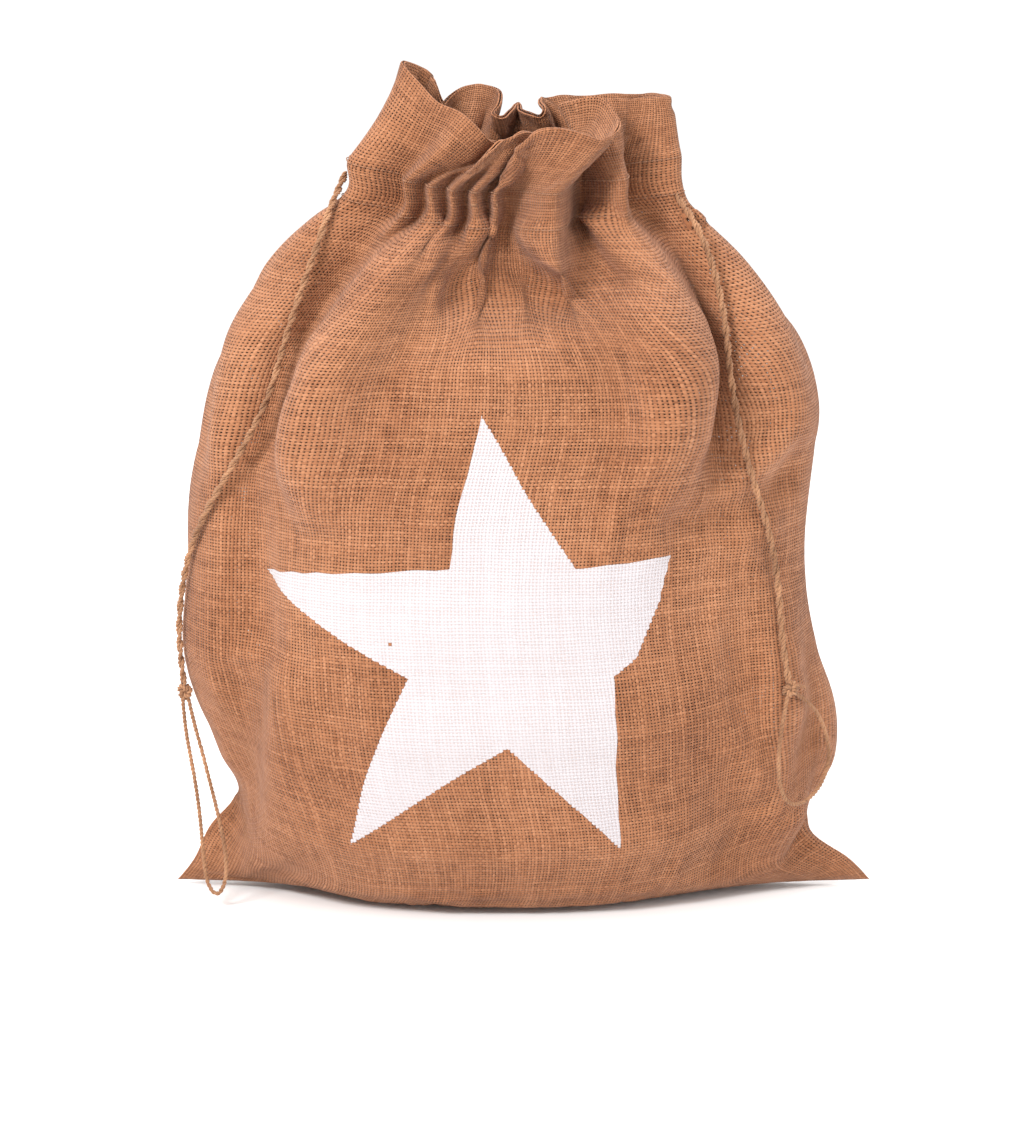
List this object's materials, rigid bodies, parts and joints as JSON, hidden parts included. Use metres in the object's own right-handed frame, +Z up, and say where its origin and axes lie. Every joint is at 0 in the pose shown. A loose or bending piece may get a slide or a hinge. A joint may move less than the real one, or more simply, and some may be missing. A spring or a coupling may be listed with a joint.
{
  "type": "drawstring gift sack",
  "caption": "Stuffed woven sack standing on its base, with a gathered neck and frill, a printed star on the front and twisted drawcords that end in knotted loops.",
  "frame": {"origin": "on the floor, under the middle of the sack's outline without its cords", "axes": "+Z up, -Y out of the printed front, +X to the right as the front is faced"},
  "size_m": [0.423, 0.1966, 0.5],
  "materials": {
    "jute_cloth": "matte",
    "sewing_thread": "matte",
    "filling": "matte",
    "white_print": "matte",
    "jute_twine": "matte"
  },
  "bodies": {
    "sack": {"front_panel": "jute_cloth", "back_panel": "jute_cloth", "front_facing": "jute_cloth", "back_facing": "jute_cloth", "left_side_seam": "jute_cloth", "right_side_seam": "jute_cloth", "bottom_seam": "jute_cloth", "front_channel_stitching": "sewing_thread", "back_channel_stitching": "sewing_thread", "left_seam_stitching": "sewing_thread", "right_seam_stitching": "sewing_thread", "filling": "filling", "star_print": "white_print", "left_cord_in_channel": "jute_twine", "right_cord_in_channel": "jute_twine"},
    "left_drawcord": {"left_cord_at_exit": "jute_twine"},
    "left_tail": {"left_cord_tail": "jute_twine", "left_cord_loop": "jute_twine", "left_cord_knot": "jute_twine"},
    "right_drawcord": {"right_cord_at_exit": "jute_twine"},
    "right_tail": {"right_cord_tail": "jute_twine", "right_cord_loop": "jute_twine", "right_cord_knot": "jute_twine"}
  },
  "joints": [
    {"name": "left_cord_pull", "type": "slide", "parent": "sack", "child": "left_drawcord", "axis": [-1, 0, 0], "range_m": [0, 0.04]},
    {"name": "right_cord_pull", "type": "slide", "parent": "sack", "child": "right_drawcord", "axis": [1, 0, 0], "range_m": [0, 0.04]},
    {"name": "left_cord_swing", "type": "hinge", "parent": "left_drawcord", "child": "left_tail", "pos_m": [-0.105, 0, 0.4345], "axis": [0, 1, 0], "range_deg": [0, 60]},
    {"name": "right_cord_swing", "type": "hinge", "parent": "right_drawcord", "child": "right_tail", "pos_m": [0.084, 0, 0.4285], "axis": [0, -1, 0], "range_deg": [0, 60]}
  ]
}
